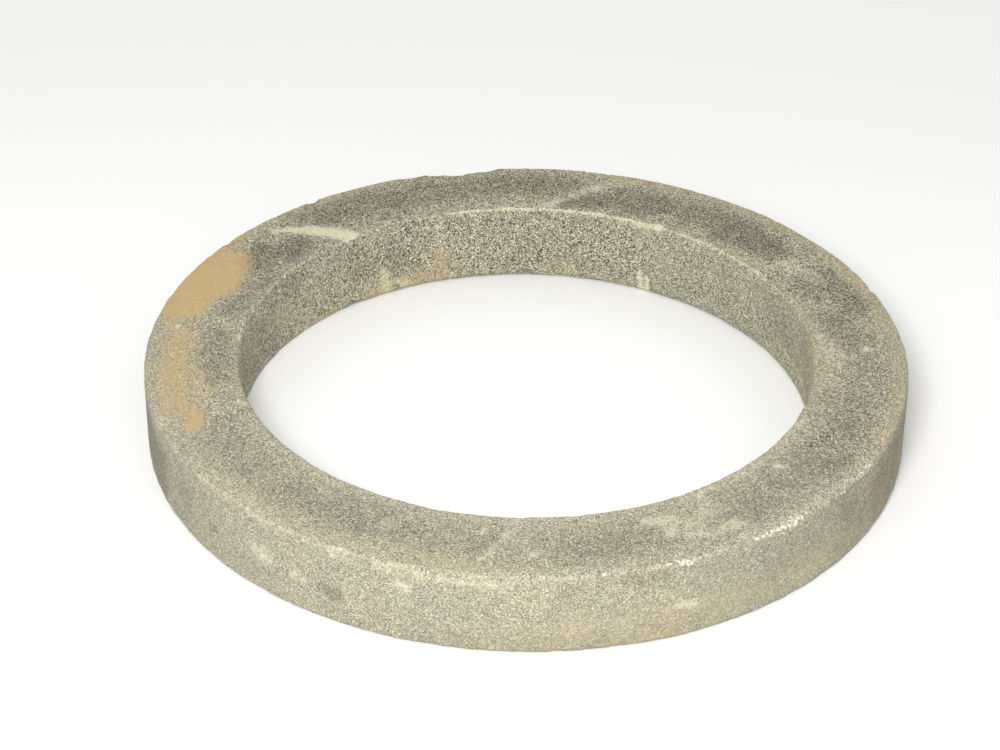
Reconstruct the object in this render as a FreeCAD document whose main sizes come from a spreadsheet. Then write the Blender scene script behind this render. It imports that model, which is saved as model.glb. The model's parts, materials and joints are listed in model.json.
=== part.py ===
"""Flat precast concrete ring that brings a manhole frame up to street level.

The ring is one casting: a square-shouldered section turned once round the shaft's axis, with a
straight bore that stays clear for access, a flat seat on top for the frame and a flat bed below.
Its frame has the origin at the middle of the bed, +Z up along the bore, and works in millimetres.
"""

import FreeCAD, Part
import os

import Sketcher

PARTS_FOLDER = "parts"
RING_LABEL = "adjusting_ring"
MM3_PER_M3 = 1e9

# Driving dimensions: alias in the sheet, size in mm, what it is.
DRIVING_DIMENSIONS = [
    ("clear_opening", 650.0, "diameter of the bore that a person climbs through"),
    ("wall", 110.0, "radial width of the concrete, bore to outer face"),
    ("height", 100.0, "bed to seat, the amount that the ring lifts the frame"),
    ("seat_arris", 8.0, "radius of the rounded edges round the seat, outside and in the bore"),
    ("bed_arris", 6.0, "radius of the slightly crisper edges round the bed, outside and in the bore"),
]


def make_sheet(doc):
    """The spreadsheet that holds every driving dimension under its alias."""
    sheet = doc.addObject("Spreadsheet::Sheet", "Dimensions")
    for row, (alias, size, meaning) in enumerate(DRIVING_DIMENSIONS, start=1):
        sheet.set(f"A{row}", alias)
        sheet.set(f"B{row}", str(size))
        sheet.set(f"C{row}", meaning)
        sheet.setAlias(f"B{row}", alias)
    doc.recompute()
    return sheet


def origin_feature(body, role):
    """One of the body's own origin planes or axes, such as XZ_Plane or Z_Axis."""
    return next(f for f in body.Origin.OriginFeatures if f.Role == role)


def draw_section(body, sheet):
    """Sketch of the wall's rectangular section, bore side at half the clear opening."""
    sketch = body.newObject("Sketcher::SketchObject", "WallSection")
    sketch.AttachmentSupport = [(origin_feature(body, "XZ_Plane"), "")]
    sketch.MapMode = "FlatFace"

    bore_radius = sheet.clear_opening / 2
    outer_radius = bore_radius + sheet.wall
    corners = [
        FreeCAD.Vector(bore_radius, 0, 0),
        FreeCAD.Vector(outer_radius, 0, 0),
        FreeCAD.Vector(outer_radius, sheet.height, 0),
        FreeCAD.Vector(bore_radius, sheet.height, 0),
    ]
    sides = len(corners)
    bed, outer_face, seat, bore_face = (
        sketch.addGeometry(Part.LineSegment(corners[i], corners[(i + 1) % sides])) for i in range(sides)
    )
    start, end = 1, 2
    for side, following in ((bed, outer_face), (outer_face, seat), (seat, bore_face), (bore_face, bed)):
        sketch.addConstraint(Sketcher.Constraint("Coincident", side, end, following, start))
    for level in (bed, seat):
        sketch.addConstraint(Sketcher.Constraint("Horizontal", level))
    for upright in (outer_face, bore_face):
        sketch.addConstraint(Sketcher.Constraint("Vertical", upright))

    sketch_origin = -1
    sketch.addConstraint(Sketcher.Constraint("DistanceY", sketch_origin, 1, bed, start, 0.0))
    for name, constraint, expression in (
        (
            "bore_radius",
            Sketcher.Constraint("DistanceX", sketch_origin, 1, bed, start, bore_radius),
            "Dimensions.clear_opening / 2",
        ),
        (
            "wall",
            Sketcher.Constraint("DistanceX", bed, start, bed, end, sheet.wall),
            "Dimensions.wall",
        ),
        (
            "height",
            Sketcher.Constraint("DistanceY", outer_face, start, outer_face, end, sheet.height),
            "Dimensions.height",
        ),
    ):
        index = sketch.addConstraint(constraint)
        sketch.renameConstraint(index, name)
        sketch.setExpression(f"Constraints.{name}", expression)
    return sketch


def turn_section(body, sketch):
    """Revolve the section a full turn about the bore's axis."""
    ring = body.newObject("PartDesign::Revolution", "RingCasting")
    ring.Profile = sketch
    ring.ReferenceAxis = (origin_feature(body, "Z_Axis"), [""])
    ring.Angle = 360.0
    sketch.Visibility = False
    return ring


def edges_at_level(shape, level):
    """Names of the full circular edges that lie at one height."""
    tolerance = 1e-4
    return [
        f"Edge{number}"
        for number, edge in enumerate(shape.Edges, start=1)
        if isinstance(edge.Curve, Part.Circle)
        and abs(edge.BoundBox.ZMin - level) < tolerance
        and abs(edge.BoundBox.ZMax - level) < tolerance
    ]


def round_edges(body, base, level, name, arris):
    """Round both edges at one level, the outer one and the bore's, to one radius."""
    fillet = body.newObject("PartDesign::Fillet", name)
    fillet.Base = (base, edges_at_level(base.Shape, level))
    fillet.setExpression("Radius", f"Dimensions.{arris}")
    return fillet


def make_ring(doc, sheet):
    """The whole casting, as one body."""
    body = doc.addObject("PartDesign::Body", "AdjustingRing")
    body.Label = RING_LABEL
    section = draw_section(body, sheet)
    casting = turn_section(body, section)
    doc.recompute()
    seat_rounding = round_edges(body, casting, sheet.height, "SeatArris", "seat_arris")
    doc.recompute()
    round_edges(body, seat_rounding, 0.0, "BedArris", "bed_arris")
    doc.recompute()
    body.Placement = FreeCAD.Placement()
    return body


def check(doc, bodies):
    """Stop before anything is written if a feature failed or a solid is broken."""
    doc.recompute()
    for thing in doc.Objects:
        if {"Invalid", "Error"} & set(thing.State):
            raise RuntimeError(f"{thing.Name} did not recompute: {thing.State}")
    for body in bodies:
        shape = body.Shape
        if shape.isNull() or not shape.isValid() or len(shape.Solids) != 1:
            raise RuntimeError(f"{body.Label} is not one valid solid")


def main():
    doc = FreeCAD.newDocument("ManholeAdjustingRing")
    sheet = make_sheet(doc)
    bodies = [make_ring(doc, sheet)]
    check(doc, bodies)
    os.makedirs(PARTS_FOLDER, exist_ok=True)
    for body in bodies:
        body.Shape.exportStep(os.path.join(PARTS_FOLDER, body.Label + ".step"))
        box = body.Shape.optimalBoundingBox()
        print(
            f"{body.Label}: {box.XLength:.1f} x {box.YLength:.1f} x {box.ZLength:.1f} mm,",
            f"{body.Shape.Volume / MM3_PER_M3:.6f} m3",
        )


main()
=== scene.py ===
"""A weathered precast concrete manhole adjusting ring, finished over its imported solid."""

import json
import math

import bpy
import numpy as np
from mathutils import Matrix, Vector


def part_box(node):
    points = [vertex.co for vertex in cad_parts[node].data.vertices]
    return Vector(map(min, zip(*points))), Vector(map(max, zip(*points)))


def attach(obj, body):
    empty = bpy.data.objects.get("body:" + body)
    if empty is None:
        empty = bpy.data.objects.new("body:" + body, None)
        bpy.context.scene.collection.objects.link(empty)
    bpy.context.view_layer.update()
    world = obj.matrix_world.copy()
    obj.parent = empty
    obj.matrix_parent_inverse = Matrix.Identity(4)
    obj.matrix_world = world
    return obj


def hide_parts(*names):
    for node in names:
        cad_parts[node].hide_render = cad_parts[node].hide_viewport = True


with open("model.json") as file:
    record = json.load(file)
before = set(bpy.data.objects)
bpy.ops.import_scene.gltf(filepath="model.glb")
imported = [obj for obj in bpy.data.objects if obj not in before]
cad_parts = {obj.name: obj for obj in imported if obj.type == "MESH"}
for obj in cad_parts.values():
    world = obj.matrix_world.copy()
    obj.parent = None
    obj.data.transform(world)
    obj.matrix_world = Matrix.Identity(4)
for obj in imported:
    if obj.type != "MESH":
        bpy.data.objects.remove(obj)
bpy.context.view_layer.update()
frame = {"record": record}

MM = 0.001

# ---------------------------------------------------------------- sizes of the ring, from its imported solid

RING = "adjusting_ring"
RING_LOW, RING_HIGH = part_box(RING)
OPENING = next(m for m in frame["record"]["mounts"] if m["name"] == "clear_opening")
BORE = OPENING["dims"]["r_mm"] * MM
RIM = (RING_HIGH.x - RING_LOW.x) / 2
WALL = RIM - BORE
HEIGHT = RING_HIGH.z - RING_LOW.z
SEAT_ARRIS = 8 * MM
BED_ARRIS = 6 * MM

# ---------------------------------------------------------------- relief and grain of the casting

SKIN = 0.9 * MM          # how far the cement face lies under the tips of its sand
BED_SETTLED = 1.05 * MM  # how much less the bed has lost, for it rests on its highest spots
SECTION_STEP = 1.65 * MM  # spacing along the section at the arrises
TURNS = 780              # stations round the ring
SAND_GAP = 2.9 * MM      # nearest distance between two exposed grains
SEED = 7

DISHED, DISHED_ACROSS = 0.9 * MM, 70 * MM      # depth and breadth of the slow hollows in a face
TEXTURED, TEXTURED_ACROSS = 0.4 * MM, 5 * MM   # the open texture of the faces
RUBBED, RUBBED_ACROSS = 0.8 * MM, 22 * MM      # stretches of rubbed arris
CRUMBLED, CRUMBLED_ACROSS = 0.55 * MM, 6 * MM  # crumbs lost from an arris
ARRIS_NEAR, ARRIS_FAR = 3 * MM, 17 * MM        # full arris wear within the first, none past the second
GRAIN_SMALLEST, GRAIN_LARGEST = 0.8 * MM, 2.2 * MM
GRAIN_SIDES = 5
GRAIN_PROUD = 0.16       # share of a grain's size by which its middle is raised
BED_GAP = 2.2            # how much further apart the grains on the bed are
CELL_OF_GRAIN, CELL_OF_GRIT = 1.25 * MM, 0.68 * MM

FLOAT, INTEGER = "NodeSocketFloat", "NodeSocketInt"
GEOMETRY, MATERIAL = "NodeSocketGeometry", "NodeSocketMaterial"

# Bites out of an edge: bearing in degrees, edge, half length and depth in millimetres.
CHIPS = [
    (101.5, "seat rim", 46, 4.6),
    (110.2, "seat rim", 14, 2.0),
    (310.5, "seat rim", 17, 3.0),
    (306.0, "seat rim", 9, 2.2),
    (327.5, "seat rim", 12, 2.6),
    (292.0, "seat rim", 10, 2.0),
    (245.0, "seat rim", 12, 1.6),
    (19.5, "seat rim", 8, 2.5),
    (128.5, "seat rim", 7, 2.5),
    (147.5, "seat rim", 6, 2.0),
    (122.0, "seat bore", 9, 3.0),
    (118.5, "seat bore", 8, 3.2),
    (61.0, "seat bore", 8, 2.6),
    (253.0, "seat bore", 11, 1.6),
    (268.0, "seat bore", 15, 1.6),
    (190.0, "seat bore", 16, 1.4),
    (33.0, "seat bore", 10, 2.0),
    (230.0, "bed rim", 10, 1.6),
    (283.0, "bed rim", 9, 1.7),
    (311.0, "bed rim", 8, 1.8),
    (332.0, "bed rim", 10, 2.0),
    (70.0, "bed rim", 26, 4.5),
    (151.0, "bed rim", 18, 3.5),
    (82.0, "bed bore", 12, 1.8),
    (130.0, "bed bore", 12, 1.8),
]

# ---------------------------------------------------------------- marks of handling and weather

# A stroke runs between two spots, each a bearing in degrees and millimetres in from the rim (on the seat
# and the bed) or down from the seat (on the walls). Then come its half widths there and its strength.
CLAY = {
    "seat": [
        (145.2, 10, 151.0, 12, 11, 15, 0.55),
        (147.0, 26, 151.5, 30, 8, 10, 0.38),
        (154.0, 24, 167.0, 20, 34, 31, 1.45),
        (156.0, 44, 160.5, 48, 22, 26, 1.30),
        (163.0, 38, 169.5, 34, 24, 18, 1.25),
        (167.0, 24, 173.0, 23, 21, 9, 1.05),
        (173.0, 20, 175.3, 24, 6, 5, 0.80),
        (177.0, 41, 186.0, 39, 18, 18, 0.64),
        (186.0, 37, 199.0, 31, 16, 17, 0.70),
        (182.0, 54, 197.0, 54, 13, 13, 0.40),
        (190.0, 60, 196.0, 66, 6, 10, 0.40),
        (196.0, 22, 199.6, 17, 7, 6, 0.62),
        (202.0, 46, 205.4, 37, 10, 10, 1.05),
        (200.4, 55, 203.0, 50, 5, 5, 0.50),
        (192.6, 78, 195.0, 79, 4, 4, 0.35),
    ],
    "bore": [
        (122.6, 70, 122.4, 92, 8, 12, 0.42),
        (121.0, 88, 125.2, 96, 7, 8, 0.48),
        (118.4, 86, 115.0, 92, 7, 7, 0.44),
        (114.6, 84, 111.4, 88, 6, 8, 0.55),
        (110.8, 78, 109.6, 92, 10, 12, 0.48),
        (109.4, 58, 109.0, 78, 10, 12, 0.42),
        (137.0, 92, 136.0, 96, 6, 7, 0.50),
        (97.5, 93, 95.5, 95, 4, 4, 0.42),
    ],
    "outer": [
        (262.0, 97, 275.0, 97, 4, 4, 0.40),
        (281.0, 95, 292.0, 96, 5, 6, 0.42),
    ],
}
DAMP = {
    "seat": [
        (4.0, 64, 12.0, 74, 24, 22, 0.62),
        (14.0, 36, 26.0, 46, 18, 22, 0.80),
        (20.0, 74, 27.0, 72, 16, 14, 0.75),
        (38.0, 60, 47.0, 66, 22, 28, 1.25),
        (47.0, 54, 57.0, 54, 27, 27, 1.00),
        (52.0, 34, 60.0, 36, 12, 12, 0.50),
        (63.0, 58, 71.5, 66, 25, 31, 1.02),
        (75.0, 76, 82.0, 88, 17, 16, 1.10),
        (83.0, 44, 94.0, 48, 22, 26, 0.90),
        (96.0, 50, 104.0, 54, 30, 28, 0.75),
        (108.0, 54, 119.0, 54, 30, 30, 0.80),
        (120.5, 44, 132.0, 44, 32, 26, 0.80),
        (139.8, 74, 144.0, 78, 18, 22, 1.05),
        (146.0, 50, 150.0, 64, 16, 26, 1.05),
        (153.0, 86, 168.0, 86, 17, 17, 0.62),
        (177.0, 78, 192.0, 82, 17, 17, 0.60),
        (206.5, 64, 213.0, 58, 16, 27, 0.36),
        (213.0, 52, 224.0, 54, 25, 22, 0.45),
        (226.0, 54, 240.0, 56, 28, 27, 0.50),
        (242.0, 54, 263.0, 56, 26, 24, 0.45),
        (262.2, 18, 264.0, 44, 6, 9, 0.50),
        (276.0, 46, 284.0, 50, 22, 30, 0.42),
        (284.0, 50, 290.0, 48, 28, 24, 0.60),
        (303.0, 50, 312.0, 52, 26, 28, 0.50),
        (312.0, 50, 326.0, 54, 28, 28, 0.50),
        (326.0, 48, 343.0, 56, 30, 32, 0.62),
        (345.0, 46, 356.0, 52, 22, 22, 0.45),
    ],
    "outer": [
        (193.5, 46, 202.0, 60, 36, 34, 1.15),
        (203.0, 60, 212.0, 60, 26, 26, 0.45),
        (211.0, 17, 211.8, 18, 4, 4, 0.55),
        (219.5, 54, 220.5, 57, 6, 6, 0.50),
        (241.4, 58, 243.6, 62, 7, 8, 0.80),
        (265.2, 52, 265.8, 57, 5, 5, 0.45),
        (276.0, 22, 278.0, 30, 10, 10, 0.35),
        (284.5, 12, 290.0, 18, 10, 9, 0.50),
        (246.0, 90, 294.0, 84, 14, 18, 0.30),
        (308.0, 40, 321.0, 42, 26, 28, 0.35),
        (323.0, 44, 334.0, 52, 34, 34, 0.60),
        (335.0, 50, 352.0, 50, 44, 44, 0.95),
        (18.0, 40, 34.0, 55, 26, 30, 0.55),
        (66.0, 70, 92.0, 64, 22, 26, 0.60),
        (118.0, 36, 131.0, 44, 18, 24, 0.45),
        (158.0, 60, 176.0, 58, 30, 30, 0.60),
    ],
    "bore": [
        (176.0, 55, 160.0, 60, 40, 34, 0.50),
        (158.0, 24, 146.0, 30, 16, 14, 0.40),
        (134.0, 50, 116.0, 52, 15, 14, 0.40),
        (91.0, 66, 70.0, 88, 18, 10, 0.35),
        (60.0, 18, 42.0, 20, 9, 8, 0.15),
        (24.0, 40, 4.0, 50, 26, 40, 0.42),
        (352.0, 46, 330.0, 52, 30, 22, 0.55),
        (300.0, 60, 262.0, 62, 18, 20, 0.50),
        (236.0, 44, 204.0, 50, 20, 26, 0.55),
    ],
    "bed": [
        (10.0, 50, 60.0, 60, 30, 34, 0.55),
        (95.0, 40, 150.0, 60, 24, 36, 0.60),
        (190.0, 55, 228.0, 50, 36, 28, 0.50),
        (262.0, 60, 318.0, 46, 26, 34, 0.60),
    ],
}
LIME = {
    "seat": [
        (140.8, 27, 138.4, 38, 2.5, 5, 1.15),
        (138.4, 38, 135.0, 62, 5, 10, 1.25),
        (135.0, 62, 131.0, 100, 11, 14, 1.35),
        (71.5, 16, 76.0, 36, 5, 8, 0.40),
        (76.0, 36, 86.5, 104, 8, 8, 0.66),
        (200.0, 6, 232.0, 7, 12, 15, 0.24),
        (232.0, 7, 268.0, 4, 15, 15, 0.14),
        (268.0, 4, 302.0, 6, 13, 15, 0.20),
        (302.0, 7, 331.0, 3, 12, 9, 0.36),
        (206.0, 97, 246.0, 100, 7, 8, 0.28),
        (246.0, 100, 300.0, 98, 9, 9, 0.28),
        (300.0, 99, 336.0, 102, 8, 6, 0.45),
        (290.6, 78, 294.8, 71, 7, 10, 0.74),
        (292.6, 48, 294.2, 60, 5, 8, 0.72),
        (294.6, 74, 296.6, 62, 5, 8, 0.66),
        (296.0, 40, 304.0, 34, 8, 9, 0.62),
        (298.0, 58, 304.0, 66, 8, 6, 0.50),
        (301.0, 76, 303.0, 82, 8, 7, 0.55),
        (264.0, 30, 264.8, 38, 3.5, 4.5, 0.70),
        (265.2, 47, 265.8, 54, 4, 4, 0.70),
        (271.4, 41, 272.8, 43, 4.5, 5, 0.75),
        (266.6, 66, 267.6, 76, 4, 5, 0.80),
        (263.0, 76, 263.6, 82, 4, 4, 0.60),
        (247.0, 62, 249.0, 60, 6, 6, 0.50),
        (319.4, 80, 320.4, 76, 3.5, 3.5, 1.20),
        (0.9, 50, 1.4, 46, 3.5, 5, 1.30),
        (27.0, 58, 33.0, 66, 14, 10, 0.50),
        (357.0, 84, 6.0, 92, 12, 9, 0.35),
        (174.6, 30, 175.0, 32, 3.5, 3.5, 1.00),
        (200.6, 97, 201.4, 100, 4, 3, 0.80),
        (176.5, 106, 178.0, 107, 3, 3, 0.80),
    ],
    "outer": [
        # These two strokes paint a pale line along the near arris of the outer wall: partly lime, partly
        # painted highlight where the rounded arris catches the lamp.
        (200.0, 1, 240.0, 1, 5, 6, 0.26),
        (240.0, 1, 300.0, 1, 5, 5, 0.26),
        (243.0, 7, 246.0, 6, 6, 6, 0.50),
        (253.0, 27, 254.2, 30, 5, 6, 0.80),
        (229.5, 44, 232.0, 52, 8, 9, 0.62),
        (236.5, 56, 238.0, 58, 5, 5, 0.62),
        (292.0, 56, 294.0, 60, 5, 6, 0.70),
        (250.0, 8, 268.0, 13, 6, 6, 0.50),
        (40.0, 2, 62.0, 4, 7, 6, 0.60),
        (100.0, 30, 101.0, 86, 4, 7, 0.70),
        (142.0, 8, 143.5, 60, 5, 3, 0.70),
    ],
    "bore": [
        (64.6, 74, 64.2, 98, 3, 4, 1.15),
        (62.9, 78, 62.7, 98, 2.5, 3, 1.05),
        (110.0, 4, 109.6, 26, 5, 6, 0.45),
        (123.0, 64, 122.2, 94, 5, 9, 0.72),
        (119.6, 84, 117.0, 94, 4, 6, 0.62),
        (20.0, 71, 8.0, 74, 3, 3, 0.55),
        (170.0, 2, 108.0, 2, 3, 3, 0.35),
        (108.0, 2, 60.0, 2, 3, 4, 0.85),
        (66.0, 5, 60.0, 5, 4, 4, 0.90),
        (60.0, 2, 30.0, 2, 3, 3, 0.70),
        (250.0, 20, 249.0, 84, 3, 5, 0.70),
        (298.0, 10, 297.4, 50, 3, 4, 0.60),
    ],
    "bed": [
        (30.0, 30, 44.0, 42, 14, 12, 0.60),
        (170.0, 64, 176.0, 80, 12, 14, 0.60),
        (244.0, 26, 256.0, 30, 12, 10, 0.55),
    ],
}
# Pale flecks of newly broken concrete along the arrises.
FRESH = {
    "seat": [
        (306.0, 3, 313.0, 4, 3, 4, 0.92),
        (310.2, 9, 311.2, 12, 3, 3, 0.85),
        (324.6, 2, 329.0, 3, 3, 3, 0.80),
        (289.0, 3, 294.6, 4, 3, 3, 0.66),
        (332.0, 2, 335.0, 2, 3, 3, 0.70),
        (314.0, 3, 323.0, 2, 3, 3, 0.50),
        (60.5, 106, 66.0, 106, 4, 4, 0.50),
    ],
    "outer": [
        (303.6, 2, 312.0, 2, 3, 4, 0.92),
        (308.0, 8, 309.4, 10, 3, 3, 0.80),
        (291.2, 4, 293.6, 7, 4, 4, 0.85),
        (321.0, 5, 321.6, 6, 3, 3, 0.90),
        (326.0, 3, 328.5, 4, 3, 3, 0.80),
    ],
}
DUST = {
    "seat": [
        (336.0, 5, 20.0, 8, 12, 14, 0.65),
        (20.0, 8, 74.0, 10, 14, 14, 0.75),
        (116.0, 10, 142.0, 12, 10, 12, 0.45),
        (144.0, 6, 150.0, 8, 10, 12, 0.60),
        (34.0, 100, 60.0, 100, 10, 10, 0.35),
        (206.0, 18, 266.0, 14, 16, 18, 0.42),
        (176.0, 30, 200.0, 26, 22, 22, 0.40),
        (340.0, 98, 20.0, 100, 12, 12, 0.40),
        (180.0, 62, 199.0, 66, 10, 12, 0.35),
        (104.5, 46, 111.0, 44, 3, 3, 0.50),
    ],
    "outer": [
        (196.0, 12, 204.0, 18, 12, 10, 0.40),
        (262.0, 84, 276.0, 80, 16, 18, 0.45),
        (276.0, 72, 300.0, 72, 22, 28, 0.65),
        (284.0, 62, 289.0, 58, 8, 9, 0.50),
        (290.0, 44, 294.0, 46, 8, 7, 0.50),
        (300.0, 76, 334.0, 72, 22, 26, 0.50),
        (344.0, 60, 24.0, 76, 24, 20, 0.55),
        (44.0, 84, 140.0, 86, 15, 18, 0.55),
        (205.0, 62, 216.0, 66, 16, 12, 0.30),
        (160.0, 20, 190.0, 18, 14, 12, 0.45),
    ],
    "bore": [
        (172.0, 40, 150.0, 52, 18, 16, 0.40),
        (86.0, 80, 66.0, 92, 12, 10, 0.40),
        (126.0, 86, 107.0, 88, 14, 14, 0.45),
        (320.0, 84, 190.0, 88, 12, 13, 0.45),
    ],
    "bed": [
        (350.0, 50, 20.0, 55, 40, 40, 0.55),
        (70.0, 80, 130.0, 30, 24, 24, 0.45),
        (200.0, 85, 290.0, 80, 18, 18, 0.50),
    ],
}
# Where the cement skin is gone and coarse sand shows.
OPEN = {
    "seat": [
        (20.0, 55, 150.0, 55, 52, 52, 0.90),
        (150.0, 60, 205.0, 70, 40, 30, 0.45),
        (330.0, 55, 20.0, 55, 48, 50, 0.50),
    ],
    "outer": [
        (0.0, 50, 150.0, 50, 60, 60, 0.55),
        (218.0, 40, 290.0, 46, 44, 50, 0.22),
    ],
    "bore": [
        (172.0, 50, 118.0, 50, 60, 60, 1.0),
        (118.0, 50, 68.0, 54, 60, 40, 1.0),
        (68.0, 50, 20.0, 50, 60, 60, 0.45),
        (200.0, 50, 340.0, 50, 60, 60, 0.60),
    ],
    "bed": [
        (0.0, 50, 170.0, 50, 60, 60, 0.60),
        (180.0, 50, 350.0, 50, 60, 60, 0.60),
    ],
}
MARKS = {"clay": CLAY, "damp": DAMP, "lime": LIME, "dust": DUST, "fresh": FRESH, "open": OPEN}


# ================================================================ helpers for node trees


class Nodes:
    """Writes one node tree as plain expressions: each call adds a node and gives its output."""

    def __init__(self, tree):
        self.tree = tree

    def add(self, kind, feeds=None, **settings):
        node = self.tree.nodes.new(kind)
        for name, value in settings.items():
            setattr(node, name, value)
        for name, value in (feeds or {}).items():
            self.feed(node.inputs[name], value)
        return node

    def feed(self, socket, value):
        if isinstance(value, bpy.types.NodeSocket):
            self.tree.links.new(value, socket)
        else:
            socket.default_value = value

    def math(self, operation, first, second=0.0, clamp=False):
        made = self.add("ShaderNodeMath", {0: first, 1: second}, operation=operation, use_clamp=clamp)
        return made.outputs[0]

    def vector(self, operation, first, second=(0, 0, 0)):
        return self.add("ShaderNodeVectorMath", {0: first, 1: second}, operation=operation).outputs[0]

    def scaled(self, vector, factor):
        made = self.add("ShaderNodeVectorMath", {0: vector, "Scale": factor}, operation="SCALE")
        return made.outputs[0]

    def ramp(self, value, low, high, to_low=0.0, to_high=1.0):
        """Value carried smoothly from the span low..high to the span to_low..to_high."""
        feeds = {"Value": value, "From Min": low, "From Max": high, "To Min": to_low, "To Max": to_high}
        return self.add("ShaderNodeMapRange", feeds, interpolation_type="SMOOTHSTEP").outputs["Result"]

    def noise(self, place, size, detail=2.0, roughness=0.5, distortion=0.0, seed=0.0):
        """Cloudy noise, 0 to 1, whose lumps are about size metres across."""
        feeds = {
            "Vector": place, "W": seed, "Scale": 0.5 / size, "Detail": detail,
            "Roughness": roughness, "Distortion": distortion,
        }
        return self.add("ShaderNodeTexNoise", feeds, noise_dimensions="4D").outputs[0]

    def cells(self, place, size, feature="F1", output="Color", randomness=1.0):
        """Packed cells about size metres across."""
        feeds = {"Vector": place, "Scale": 1 / size, "Randomness": randomness}
        return self.add("ShaderNodeTexVoronoi", feeds, feature=feature).outputs[output]

    def mix(self, factor, below, above, blend="MIX"):
        node = self.add("ShaderNodeMix", data_type="RGBA", blend_type=blend)
        self.feed(node.inputs["Factor"], factor)
        self.feed(node.inputs[6], below)
        self.feed(node.inputs[7], above)
        return node.outputs[2]

    def tones(self, value, stops, interpolation="LINEAR"):
        """A colour ramp: stops are (position, colour)."""
        node = self.add("ShaderNodeValToRGB", {"Fac": value})
        ramp = node.color_ramp
        ramp.interpolation = interpolation
        while len(ramp.elements) < len(stops):
            ramp.elements.new(0.5)
        for element, (position, colour) in zip(ramp.elements, stops):
            element.position = position
            element.color = (*colour, 1)
        return node.outputs["Color"]


def tree_inputs(tree, inputs):
    """Adds a node group's named inputs and gives its input node's outputs by name."""
    for name, kind in inputs.items():
        tree.interface.new_socket(name=name, in_out="INPUT", socket_type=kind)
    tree.interface.new_socket(name="Geometry", in_out="OUTPUT", socket_type="NodeSocketGeometry")
    return tree.nodes.new("NodeGroupInput").outputs


def grow(name, tree, values, base=None):
    """Runs a Geometry Nodes tree with these input values and gives its result as a plain mesh object."""
    mesh = base.data.copy() if base else bpy.data.meshes.new(name)
    seedling = bpy.data.objects.new(name + "_tree", mesh)
    bpy.context.scene.collection.objects.link(seedling)
    modifier = seedling.modifiers.new("grow", "NODES")
    modifier.node_group = tree
    for socket in tree.interface.items_tree:
        if socket.in_out == "INPUT" and socket.name in values:
            modifier[socket.identifier] = values[socket.name]
    shape = bpy.context.evaluated_depsgraph_get()
    shape.update()
    mesh = bpy.data.meshes.new_from_object(seedling.evaluated_get(shape), depsgraph=shape)
    mesh.name = name
    bpy.data.objects.remove(seedling)
    piece = bpy.data.objects.new(name, mesh)
    bpy.context.scene.collection.objects.link(piece)
    return piece


# ================================================================ the casting


def casting_tree():
    """A rounded section carried round the bore, then worn: dished faces, ragged arrises, open texture."""
    tree = bpy.data.node_groups.new("ring_casting", "GeometryNodeTree")
    tree.is_modifier = True
    given = tree_inputs(tree, {
        "Bore Radius": FLOAT, "Wall": FLOAT, "Height": FLOAT, "Seat Arris": FLOAT, "Bed Arris": FLOAT,
        "Section Step": FLOAT, "Turns": INTEGER, "Skin": FLOAT, "Seed": FLOAT, "Material": MATERIAL,
    })
    n = Nodes(tree)
    section = rounded_section(n, given)
    path = n.add("GeometryNodeCurvePrimitiveCircle", {
        "Resolution": given["Turns"],
        "Radius": n.math("ADD", given["Bore Radius"], n.math("MULTIPLY", given["Wall"], 0.5)),
    }).outputs["Curve"]
    path = n.add("GeometryNodeSetCurveNormal", {"Curve": path}, mode="Z_UP").outputs["Curve"]
    swept = n.add("GeometryNodeCurveToMesh", {"Curve": path, "Profile Curve": section}).outputs["Mesh"]
    lift = n.add("ShaderNodeCombineXYZ", {"Z": n.math("MULTIPLY", given["Height"], 0.5)}).outputs[0]
    lifted = n.add("GeometryNodeTransform", {"Geometry": swept, "Translation": lift}).outputs[0]
    worn = n.add("GeometryNodeSetPosition", {"Geometry": lifted, "Offset": wear(n, given)}).outputs[0]
    smooth = n.add("GeometryNodeSetShadeSmooth", {"Geometry": worn, "Shade Smooth": True}).outputs[0]
    whole = n.add("GeometryNodeRealizeInstances", {"Geometry": smooth}).outputs[0]
    finished = n.add("GeometryNodeSetMaterial", {"Geometry": whole, "Material": given["Material"]})
    n.feed(tree.nodes.new("NodeGroupOutput").inputs[0], finished.outputs[0])
    return tree


def rounded_section(n, given):
    """The wall's section, fine at its arrises, wider on the faces and widest on the bed."""
    corners = n.add("GeometryNodeCurvePrimitiveQuadrilateral", {
        "Width": given["Wall"], "Height": given["Height"],
    }).outputs[0]
    at = n.add("ShaderNodeSeparateXYZ", {"Vector": n.add("GeometryNodeInputPosition").outputs[0]}).outputs
    upper = n.math("GREATER_THAN", at["Y"], 0.0)
    radius = n.add("GeometryNodeSwitch", {
        "Switch": upper, "False": given["Bed Arris"], "True": given["Seat Arris"],
    }, input_type="FLOAT").outputs[0]
    filleted = n.add("GeometryNodeFilletCurve", {
        "Curve": corners, "Count": 8, "Radius": radius,
    }, mode="POLY").outputs[0]
    stepped = n.add("GeometryNodeResampleCurve", {
        "Curve": filleted, "Length": given["Section Step"],
    }, mode="LENGTH").outputs[0]
    half_wall = n.math("MULTIPLY", given["Wall"], 0.5)
    half_height = n.math("MULTIPLY", given["Height"], 0.5)
    across = n.math("SUBTRACT", half_wall, n.math("ABSOLUTE", at["X"]))
    along = n.math("SUBTRACT", half_height, n.math("ABSOLUTE", at["Y"]))
    off_arris = n.math("GREATER_THAN", n.math("MAXIMUM", across, along), 10 * MM)
    low = n.math("LESS_THAN", at["Y"], n.math("MULTIPLY", half_height, -0.98))
    on_bed = n.math("MULTIPLY", low, off_arris)
    every = n.math("ADD", n.math("ADD", 1, off_arris), n.math("MULTIPLY", on_bed, 3))
    index = n.add("GeometryNodeInputIndex").outputs[0]
    spare = n.math("GREATER_THAN", n.math("MODULO", index, every), 0.5)
    kept = n.add("GeometryNodeDeleteGeometry", {"Geometry": stepped, "Selection": spare}, domain="POINT")
    return kept.outputs[0]


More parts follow.
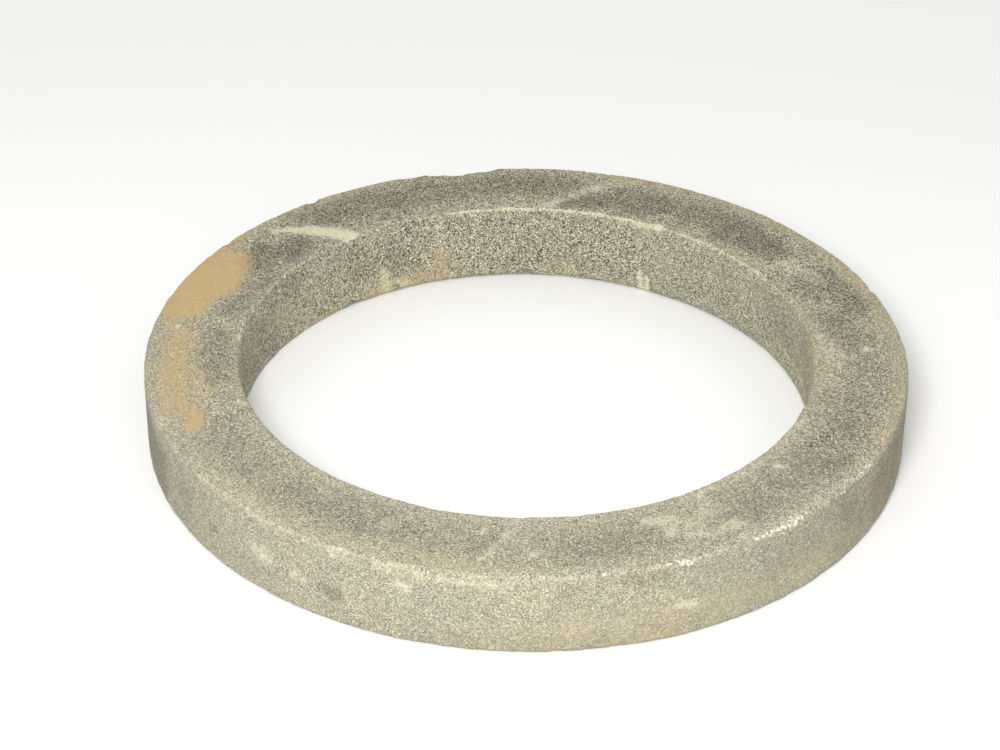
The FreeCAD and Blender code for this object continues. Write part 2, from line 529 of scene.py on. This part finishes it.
def wear(n, given):
    """How far each point of the casting has gone in from the true form: nothing stands out past it."""
    place = n.add("GeometryNodeInputPosition").outputs[0]
    at = n.add("ShaderNodeSeparateXYZ", {"Vector": place}).outputs
    flat = n.add("ShaderNodeCombineXYZ", {"X": at["X"], "Y": at["Y"]}).outputs[0]
    radius = n.add("ShaderNodeVectorMath", {0: flat}, operation="LENGTH").outputs["Value"]
    from_bore = n.math("SUBTRACT", radius, given["Bore Radius"])
    from_wall = n.math("MINIMUM", from_bore, n.math("SUBTRACT", given["Wall"], from_bore))
    from_face = n.math("MINIMUM", at["Z"], n.math("SUBTRACT", given["Height"], at["Z"]))
    from_corner = n.math("SQRT", n.math("ADD", n.math("POWER", from_wall, 2), n.math("POWER", from_face, 2)))
    arris = n.ramp(from_corner, ARRIS_FAR, ARRIS_NEAR)
    seed = given["Seed"]
    dished = n.math("MULTIPLY", n.noise(place, DISHED_ACROSS, seed=seed), DISHED)
    texture = n.noise(place, TEXTURED_ACROSS, 1, seed=seed)
    textured = n.math("MULTIPLY", n.ramp(texture, 0.35, 0.75), TEXTURED)
    rubbing = n.noise(place, RUBBED_ACROSS, 2, seed=seed)
    rubbed = n.math("MULTIPLY", n.ramp(rubbing, 0.38, 0.75), RUBBED)
    crumbs = n.noise(place, CRUMBLED_ACROSS, 1, seed=seed)
    crumbled = n.math("MULTIPLY", n.ramp(crumbs, 0.42, 0.75), CRUMBLED)
    at_arris = n.math("MULTIPLY", arris, n.math("ADD", rubbed, crumbled))
    depth = n.math("ADD", n.math("ADD", given["Skin"], dished), n.math("ADD", textured, at_arris))
    normal = n.add("GeometryNodeInputNormal").outputs["Normal"]
    down = n.math("MULTIPLY", n.add("ShaderNodeSeparateXYZ", {"Vector": normal}).outputs["Z"], -1)
    depth = n.math("SUBTRACT", depth, n.math("MULTIPLY", n.math("MAXIMUM", down, 0.0), BED_SETTLED))
    return n.scaled(normal, n.math("MULTIPLY", depth, -1))


def ring_places(points):
    """For each point: bearing in degrees, distance from the axis, and height over the bed."""
    bearing = np.degrees(np.arctan2(points[:, 1], points[:, 0])) % 360
    return bearing, np.hypot(points[:, 0], points[:, 1]), points[:, 2]


def turned(bearing, start):
    """Signed degrees from start to bearing, the short way."""
    return (bearing - start + 180) % 360 - 180


EDGES = {
    "seat rim": (RIM, HEIGHT),
    "seat bore": (BORE, HEIGHT),
    "bed rim": (RIM, 0.0),
    "bed bore": (BORE, 0.0),
}


def chip_edges(mesh):
    """Breaks the chips out of the arrises, each a shallow bite towards the middle of the section."""
    points = numbers(mesh.vertices, "co", 3)
    bearing, radius, level = ring_places(points)
    for where, edge, half_length, depth in CHIPS:
        edge_radius, edge_level = EDGES[edge]
        along = np.radians(turned(bearing, where)) * edge_radius / (half_length * MM)
        ragged = 1 + 0.16 * np.sin(along * 7 + where) + 0.06 * np.sin(along * 19 + 2 * where)
        reach = 2.4 * depth * MM
        away = np.hypot(radius - edge_radius, level - edge_level) / reach
        bite = np.clip(1 - along**2, 0, 1) ** 0.6 * np.clip(1.6 - away, 0, 1) * ragged * depth * MM
        inward = np.sign((BORE + RIM) / 2 - edge_radius)
        downward = np.sign(HEIGHT / 2 - edge_level)
        turn = np.radians(bearing)
        points[:, 0] += inward * bite * np.cos(turn) * 0.75
        points[:, 1] += inward * bite * np.sin(turn) * 0.75
        points[:, 2] += downward * bite * 0.75
    mesh.vertices.foreach_set("co", points.ravel())
    mesh.update()


def numbers(items, name, width=1):
    found = np.empty(len(items) * width)
    items.foreach_get(name, found)
    return found.reshape(-1, width) if width > 1 else found


# ================================================================ where the marks lie


def stroke_strength(bearing, depth, face_radius, stroke):
    """How strongly one stroke marks each point: full along its line, fading out across its width."""
    start, start_depth, end, end_depth, start_width, end_width, strength = stroke
    run = turned(end, start)
    x = np.radians(turned(bearing, start + run / 2)) * face_radius / MM
    half_run = math.radians(run / 2) * face_radius / MM
    rise = end_depth - start_depth
    line = max(4 * half_run**2 + rise**2, 1e-6)
    share = np.clip(((x + half_run) * 2 * half_run + (depth - start_depth) * rise) / line, 0, 1)
    away = np.hypot(x + half_run - share * 2 * half_run, depth - start_depth - share * rise)
    width = start_width + share * (end_width - start_width)
    return strength * np.clip(1.5 - away / width, 0, 1)


def face_places(points, normals):
    """Splits points into the ring's four faces: for each, which points it has, and millimetres across it."""
    bearing, radius, level = ring_places(points)
    turn = np.radians(bearing)
    outward = normals[:, 0] * np.cos(turn) + normals[:, 1] * np.sin(turn)
    upward = normals[:, 2]
    inward_mm = (RIM - radius) / MM
    down_mm = (HEIGHT - level) / MM
    middle = (RIM + BORE) / 2
    return bearing, {
        "seat": (upward > 0.45, inward_mm, middle),
        "bed": (upward < -0.45, inward_mm, middle),
        "outer": ((abs(upward) < 0.9) & (outward > 0), down_mm, RIM),
        "bore": ((abs(upward) < 0.9) & (outward < 0), down_mm, BORE),
    }


def mark_faces(mesh):
    """Gives each point how much of each mark lies there, and whether it is on one of the walls."""
    points = numbers(mesh.vertices, "co", 3)
    normals = numbers(mesh.vertices, "normal", 3)
    bearing, faces = face_places(points, normals)
    for name, marks in MARKS.items():
        amount = np.zeros(len(points))
        for face, strokes in marks.items():
            here, depth, face_radius = faces[face]
            for stroke in strokes:
                amount[here] = np.maximum(
                    amount[here], stroke_strength(bearing[here], depth[here], face_radius, stroke)
                )
        store(mesh, name, amount)
    store(mesh, "outer_face", faces["outer"][0].astype(float))
    store(mesh, "bore_face", faces["bore"][0].astype(float))


def store(mesh, name, values):
    layer = mesh.attributes.get(name) or mesh.attributes.new(name, "FLOAT", "POINT")
    layer.data.foreach_set("value", np.asarray(values, dtype=np.float32))


# ================================================================ exposed sand


def sand_tree():
    """Crushed grains set in one face of the casting, each sunk to about half its depth."""
    tree = bpy.data.node_groups.new("exposed_sand", "GeometryNodeTree")
    tree.is_modifier = True
    given = tree_inputs(tree, {
        "Geometry": GEOMETRY, "Facing Out": FLOAT, "Facing Up": FLOAT, "Gap": FLOAT,
        "Smallest": FLOAT, "Largest": FLOAT, "Sides": INTEGER, "Proud": FLOAT, "Seed": INTEGER,
        "Material": MATERIAL,
    })
    n = Nodes(tree)
    spots = n.add("GeometryNodeDistributePointsOnFaces", {
        "Mesh": given["Geometry"], "Selection": chosen_face(n, given), "Distance Min": given["Gap"],
        "Density Max": 900000.0, "Density Factor": bare_share(n), "Seed": given["Seed"],
    }, distribute_method="POISSON")
    size = n.add("FunctionNodeRandomValue", {"Seed": given["Seed"]}, data_type="FLOAT").outputs[1]
    size = n.math("POWER", size, 2.2)
    span = n.math("SUBTRACT", given["Largest"], given["Smallest"])
    size = n.math("ADD", given["Smallest"], n.math("MULTIPLY", size, span))
    raised = n.math("MULTIPLY", size, n.math("SUBTRACT", given["Proud"], 0.5))
    sunk = n.add("GeometryNodeSetPosition", {
        "Geometry": spots.outputs["Points"], "Offset": n.scaled(spots.outputs["Normal"], raised),
    }).outputs[0]
    toned = n.add("GeometryNodeStoreNamedAttribute", {
        "Geometry": sunk, "Name": "tone",
        "Value": n.add("FunctionNodeRandomValue", {"Seed": 23}, data_type="FLOAT").outputs[1],
    }, data_type="FLOAT", domain="POINT").outputs[0]
    squash = n.add("FunctionNodeRandomValue", {
        "Min": (0.75, 0.75, 0.5), "Max": (1.25, 1.25, 1.0), "Seed": 31,
    }, data_type="FLOAT_VECTOR").outputs[0]
    spin = n.add("FunctionNodeRandomValue", {
        "Min": (-0.5, -0.5, 0.0), "Max": (0.5, 0.5, 6.28), "Seed": 37,
    }, data_type="FLOAT_VECTOR").outputs[0]
    facing = n.add("FunctionNodeRotateEuler", {
        "Rotation": spots.outputs["Rotation"], "Rotate By": spin,
    }, rotation_type="EULER", space="LOCAL").outputs[0]
    grains = n.add("GeometryNodeInstanceOnPoints", {
        "Points": toned, "Instance": crushed_grain(n, given), "Rotation": facing,
        "Scale": n.scaled(squash, size),
    }).outputs[0]
    whole = n.add("GeometryNodeRealizeInstances", {"Geometry": grains}).outputs[0]
    finished = n.add("GeometryNodeSetMaterial", {"Geometry": whole, "Material": given["Material"]})
    n.feed(tree.nodes.new("NodeGroupOutput").inputs[0], finished.outputs[0])
    return tree


def chosen_face(n, given):
    """Picks the faces whose normal points the asked way: up or down, or away from or towards the axis."""
    place = n.add("GeometryNodeInputPosition").outputs[0]
    normal = n.add("GeometryNodeInputNormal").outputs["Normal"]
    level = n.vector("MULTIPLY", place, (1, 1, 0))
    out = n.add("ShaderNodeVectorMath", {0: n.vector("NORMALIZE", level), 1: normal}, operation="DOT_PRODUCT")
    up = n.add("ShaderNodeSeparateXYZ", {"Vector": normal}).outputs["Z"]
    match = n.math(
        "ADD",
        n.math("MULTIPLY", out.outputs["Value"], given["Facing Out"]),
        n.math("MULTIPLY", up, given["Facing Up"]),
    )
    return n.math("GREATER_THAN", match, 0.7072)


def bare_share(n):
    """Clay and thick lime hide the sand under them."""
    clay = n.add("GeometryNodeInputNamedAttribute", {"Name": "clay"}, data_type="FLOAT").outputs[0]
    lime = n.add("GeometryNodeInputNamedAttribute", {"Name": "lime"}, data_type="FLOAT").outputs[0]
    hidden = n.math("ADD", n.ramp(clay, 0.25, 0.7, 0, 0.95), n.ramp(lime, 0.3, 1.0, 0, 0.35))
    return n.math("SUBTRACT", 1.0, hidden, clamp=True)


def crushed_grain(n, given):
    """One angular grain, a metre across before it is scaled to size."""
    ball = n.add("GeometryNodeMeshUVSphere", {
        "Segments": given["Sides"], "Rings": 2, "Radius": 0.5,
    }).outputs[0]
    place = n.add("GeometryNodeInputPosition").outputs[0]
    bump = n.add("ShaderNodeTexNoise", {"Vector": place, "Scale": 2.3}, noise_dimensions="3D").outputs[1]
    knock = n.scaled(n.vector("SUBTRACT", bump, (0.5, 0.5, 0.5)), 0.7)
    return n.add("GeometryNodeSetPosition", {"Geometry": ball, "Offset": knock}).outputs[0]


# ================================================================ materials


def new_material(name):
    material = bpy.data.materials.new(name)
    material.use_nodes = True
    material.node_tree.nodes.clear()
    n = Nodes(material.node_tree)
    shader = n.add("ShaderNodeBsdfPrincipled")
    n.add("ShaderNodeOutputMaterial", {"Surface": shader.outputs[0]})
    place = n.add("ShaderNodeTexCoord").outputs["Object"]
    return material, n, shader, place


def amount(n, name):
    return n.add("ShaderNodeAttribute", attribute_name=name).outputs["Fac"]


CEMENT_WARM = (0.437, 0.399, 0.288)
CEMENT_COOL = (0.365, 0.354, 0.270)
BORE_TINT = (0.93, 0.955, 0.955)
OUTER_TINT = (0.955, 0.965, 0.975)
DAMP_TINT = (0.600, 0.598, 0.608)
LIME_PALE = (0.820, 0.757, 0.555)
FRESH_PALE = (0.800, 0.770, 0.650)
CLAY_TAN = (0.580, 0.415, 0.190)
CLAY_DEEP = (0.470, 0.335, 0.155)
DUST_TAN = (0.520, 0.420, 0.250)
GRAIN_TONES = [
    (0.00, (0.10, 0.095, 0.08)),
    (0.08, (0.20, 0.195, 0.160)),
    (0.24, (0.33, 0.315, 0.270)),
    (0.46, (0.41, 0.410, 0.320)),
    (0.68, (0.51, 0.475, 0.375)),
    (0.84, (0.59, 0.575, 0.450)),
    (0.94, (0.80, 0.765, 0.630)),
    (0.985, (0.54, 0.420, 0.270)),
]
SHADE_OF_GRAIN = [
    (0.00, (0.050, 0.048, 0.040)),
    (0.12, (0.200, 0.190, 0.170)),
    (0.22, (0.290, 0.295, 0.275)),
    (0.34, (0.420, 0.400, 0.390)),
    (0.48, (0.470, 0.490, 0.470)),
    (0.60, (0.560, 0.550, 0.550)),
    (0.72, (0.650, 0.665, 0.660)),
    (0.84, (0.940, 0.930, 0.950)),
    (0.94, (1.000, 1.000, 1.000)),
]
SHADE_OF_GRIT = [
    (0.00, (0.105, 0.100, 0.090)),
    (0.24, (0.360, 0.345, 0.335)),
    (0.50, (0.480, 0.495, 0.485)),
    (0.76, (0.650, 0.640, 0.650)),
    (1.00, (1.000, 1.000, 1.000)),
]
BRIGHTEST = (0.90, 0.87, 0.76)


def speckle(n, place, colour, openness):
    """Sand showing through cement: packed cells, each a grain lighter or darker than the paste round it."""
    warped = n.vector("ADD", place, n.scaled(n.add("ShaderNodeTexNoise", {
        "Vector": place, "Scale": 500.0,
    }).outputs[1], 0.5 * MM))
    grain = n.add("ShaderNodeSeparateColor", {"Color": n.cells(warped, CELL_OF_GRAIN)}).outputs
    grit = n.add("ShaderNodeSeparateColor", {"Color": n.cells(warped, CELL_OF_GRIT)}).outputs
    plain = (0.5, 0.5, 0.5, 1)
    grains = n.mix(openness, plain, n.tones(grain["Red"], SHADE_OF_GRAIN, "CONSTANT"))
    grits = n.mix(openness, plain, n.tones(grit["Green"], SHADE_OF_GRIT))
    shade = n.scaled(n.vector("MULTIPLY", grains, grits), 4.0)
    return n.vector("MINIMUM", n.vector("MULTIPLY", colour, shade), BRIGHTEST), grain["Blue"]


def outer_calm(n):
    """The share of the speckle's contrast that shows: less on the trowelled outer wall."""
    return n.ramp(amount(n, "outer_face"), 0.0, 1.0, 1.0, 0.76)


def cement(n, place):
    """Cement paste between the grains, drifting from warm to cool over a hand's breadth."""
    drift = n.ramp(n.noise(place, 55 * MM, 4, 0.55, seed=3.0), 0.30, 0.70)
    mottle = n.ramp(n.noise(place, 9 * MM, 3, 0.6, seed=5.0), 0.30, 0.72)
    paste = n.mix(drift, (*CEMENT_WARM, 1), (*CEMENT_COOL, 1))
    paste = n.mix(n.math("MULTIPLY", mottle, 0.22), paste, (0.30, 0.285, 0.215, 1))
    paste = n.mix(amount(n, "bore_face"), paste, (*BORE_TINT, 1), "MULTIPLY")
    return n.mix(amount(n, "outer_face"), paste, (*OUTER_TINT, 1), "MULTIPLY")


def ragged(n, place, name, low, high, size=6 * MM, swing=0.9):
    """A mark's amount, broken up by the lumps and then by the grain of the face that it lies on."""
    broad = n.math("SUBTRACT", n.noise(place, size, 4, 0.65, seed=11.0), 0.5)
    fine = n.math("SUBTRACT", n.noise(place, 1.5 * MM, 3, 0.7, seed=13.0), 0.5)
    broken = n.math("ADD", n.math("MULTIPLY", broad, swing), n.math("MULTIPLY", fine, swing * 1.3))
    here = amount(n, name)
    shown = n.ramp(n.math("ADD", here, broken), low, high)
    return n.math("MULTIPLY", shown, n.ramp(here, 0.0, 0.15))


def weathered(n, place, colour):
    """Lays damp, dust, lime, fresh flecks and clay over a bare colour."""
    damp = ragged(n, place, "damp", 0.0, 1.15, 11 * MM, 1.7)
    colour = n.mix(n.math("MULTIPLY", damp, 0.92), colour, (*DAMP_TINT, 1), "MULTIPLY")
    dust = ragged(n, place, "dust", 0.0, 1.1, 12 * MM, 1.1)
    colour = n.mix(n.math("MULTIPLY", dust, 0.42), colour, (*DUST_TAN, 1))
    lime = ragged(n, place, "lime", 0.0, 1.40, 5 * MM, 1.9)
    colour = n.mix(n.math("MULTIPLY", lime, 0.70), colour, (*LIME_PALE, 1))
    fresh = ragged(n, place, "fresh", 0.84, 1.00, 2.2 * MM, 1.6)
    colour = n.mix(fresh, colour, (*FRESH_PALE, 1))
    clay = n.math("ADD", ragged(n, place, "clay", 0.0, 1.25, 8 * MM, 1.1), streaks(n, place), clamp=True)
    clay = n.math("MULTIPLY", clay, n.ramp(amount(n, "clay"), 0.05, 0.3))
    tan = n.mix(n.noise(place, 10 * MM, 4, 0.6, seed=17.0), (*CLAY_DEEP, 1), (*CLAY_TAN, 1))
    return n.mix(n.math("MULTIPLY", clay, 0.88), colour, tan), clay


def streaks(n, place):
    """Fine wiping streaks that run round the ring."""
    at = n.add("ShaderNodeSeparateXYZ", {"Vector": place}).outputs
    turn = n.math("ARCTAN2", at["Y"], at["X"])
    flat = n.add("ShaderNodeCombineXYZ", {"X": at["X"], "Y": at["Y"]}).outputs[0]
    radius = n.add("ShaderNodeVectorMath", {0: flat}, operation="LENGTH").outputs["Value"]
    unrolled = n.add("ShaderNodeCombineXYZ", {
        "X": n.math("MULTIPLY", turn, 0.030), "Y": radius, "Z": at["Z"],
    }).outputs[0]
    return n.math("MULTIPLY", n.math("SUBTRACT", n.noise(unrolled, 1.6 * MM, 3, 0.6, seed=41.0), 0.5), 1.2)


def concrete_material():
    material, n, shader, place = new_material("weathered_concrete_face")
    openness = n.math("MULTIPLY", n.ramp(amount(n, "open"), 0.0, 1.0, 0.62, 1.0), outer_calm(n))
    sandy, cell = speckle(n, place, cement(n, place), openness)
    # Pits: small hollows in the face. Their colour is painted near-black as painted shade in the hollows, and
    # they also dip the bump.
    pits = n.ramp(n.noise(place, 1.5 * MM, 2, 0.6, seed=19.0), 0.66, 0.80)
    sandy = n.mix(n.math("MULTIPLY", pits, 0.6), sandy, (0.10, 0.095, 0.075, 1))
    colour, clay = weathered(n, place, sandy)
    n.feed(shader.inputs["Base Color"], colour)
    shader.inputs["Roughness"].default_value = 0.92
    shader.inputs["Specular IOR Level"].default_value = 0.25
    dome = n.ramp(n.cells(place, CELL_OF_GRAIN, "F1", "Distance"), 0.75, 0.05)
    rough = n.noise(place, 0.9 * MM, 3, 0.65, seed=29.0)
    hollow = n.math("MULTIPLY", pits, -1.2)
    height = n.math("ADD", n.math("ADD", n.math("MULTIPLY", dome, cell), rough), hollow)
    smoothed = n.math("SUBTRACT", 1.0, n.math("MULTIPLY", clay, 0.75))
    bump = n.add("ShaderNodeBump", {
        "Height": n.math("MULTIPLY", height, smoothed), "Strength": 0.9, "Distance": 0.6 * MM,
    }).outputs[0]
    n.feed(shader.inputs["Normal"], bump)
    return material


def sand_material():
    material, n, shader, place = new_material("exposed_sand_grains")
    stone = n.tones(amount(n, "tone"), GRAIN_TONES, "CONSTANT")
    coated = n.ramp(amount(n, "outer_face"), 0.0, 1.0, 1.45, 1.8)
    veins = n.math("MULTIPLY", n.noise(place, 1.0 * MM, 2, seed=31.0), coated)
    sandy, _ = speckle(n, place, cement(n, place), outer_calm(n))
    veined = n.mix(veins, stone, sandy)
    colour, _ = weathered(n, place, veined)
    n.feed(shader.inputs["Base Color"], colour)
    shader.inputs["Roughness"].default_value = 0.8
    shader.inputs["Specular IOR Level"].default_value = 0.3
    bump = n.add("ShaderNodeBump", {
        "Height": n.noise(place, 0.7 * MM, 2), "Strength": 0.4, "Distance": 0.2 * MM,
    }).outputs[0]
    n.feed(shader.inputs["Normal"], bump)
    return material


# ================================================================ making the pieces


def make_casting():
    casting = grow("ring_casting", casting_tree(), {
        "Bore Radius": BORE, "Wall": WALL, "Height": HEIGHT, "Seat Arris": SEAT_ARRIS,
        "Bed Arris": BED_ARRIS, "Section Step": SECTION_STEP, "Turns": TURNS, "Skin": SKIN,
        "Seed": float(SEED), "Material": concrete_material(),
    })
    chip_edges(casting.data)
    mark_faces(casting.data)
    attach(casting, "root")
    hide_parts(RING)
    return casting


def make_sand(casting):
    """Grains on the seat, on the two walls and, further apart, on the bed."""
    tree = sand_tree()
    stone = sand_material()
    faces = {
        "sand_on_seat": (0.0, 1.0, SAND_GAP),
        "sand_on_outer_wall": (1.0, 0.0, SAND_GAP),
        "sand_in_bore": (-1.0, 0.0, SAND_GAP),
        "sand_on_bed": (0.0, -1.0, SAND_GAP * BED_GAP),
    }
    for name, (out, up, gap) in faces.items():
        sand = grow(name, tree, {
            "Facing Out": out, "Facing Up": up, "Gap": gap, "Smallest": GRAIN_SMALLEST,
            "Largest": GRAIN_LARGEST, "Sides": GRAIN_SIDES, "Proud": GRAIN_PROUD, "Seed": SEED,
            "Material": stone,
        }, base=casting)
        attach(sand, "root")


# ================================================================ floor, light and camera


def make_floor():
    half = 6.0
    mesh = bpy.data.meshes.new("studio_floor")
    corners = [(-half, -half, 0), (half, -half, 0), (half, half, 0), (-half, half, 0)]
    mesh.from_pydata(corners, [], [(0, 1, 2, 3)])
    floor = bpy.data.objects.new("studio_floor", mesh)
    bpy.context.scene.collection.objects.link(floor)
    material = bpy.data.materials.new("studio_floor_paint")
    material.use_nodes = True
    shader = material.node_tree.nodes["Principled BSDF"]
    shader.inputs["Base Color"].default_value = (0.94, 0.94, 0.93, 1)
    shader.inputs["Roughness"].default_value = 0.9
    mesh.materials.append(material)


def soft_lamp(name, place, aim, size, watts, colour=(1, 1, 1)):
    data = bpy.data.lights.new(name, "AREA")
    data.shape = "DISK"
    data.size = size
    data.energy = watts
    data.color = colour
    lamp = bpy.data.objects.new(name, data)
    lamp.location = place
    lamp.rotation_euler = (Vector(aim) - Vector(place)).to_track_quat("-Z", "Y").to_euler()
    bpy.context.scene.collection.objects.link(lamp)


def make_lights():
    world = bpy.data.worlds.new("studio")
    bpy.context.scene.world = world
    world.use_nodes = True
    sky = world.node_tree.nodes["Background"]
    sky.inputs["Color"].default_value = (1.0, 1.0, 1.0, 1)
    sky.inputs["Strength"].default_value = 0.74
    soft_lamp("camera_side_lamp", (-0.35, -2.40, 1.95), (0, -0.15, 0), 0.8, 68)


def make_camera():
    data = bpy.data.cameras.new("camera")
    data.sensor_width = 36.0
    data.lens = 97.64
    camera = bpy.data.objects.new("camera", data)
    eye = Vector((0.0, -2.6187, 1.7468))
    aim = Vector((-0.0296, 0.0, 0.0617))
    tilt = math.radians(0.477)
    facing = (aim - eye).to_track_quat("-Z", "Y").to_matrix().to_4x4()
    camera.matrix_world = Matrix.Translation(eye) @ facing @ Matrix.Rotation(tilt, 4, "Z")
    bpy.context.scene.collection.objects.link(camera)
    bpy.context.scene.camera = camera


bpy.context.scene.view_settings.view_transform = "Standard"
make_camera()
make_lights()
make_floor()
make_sand(make_casting())
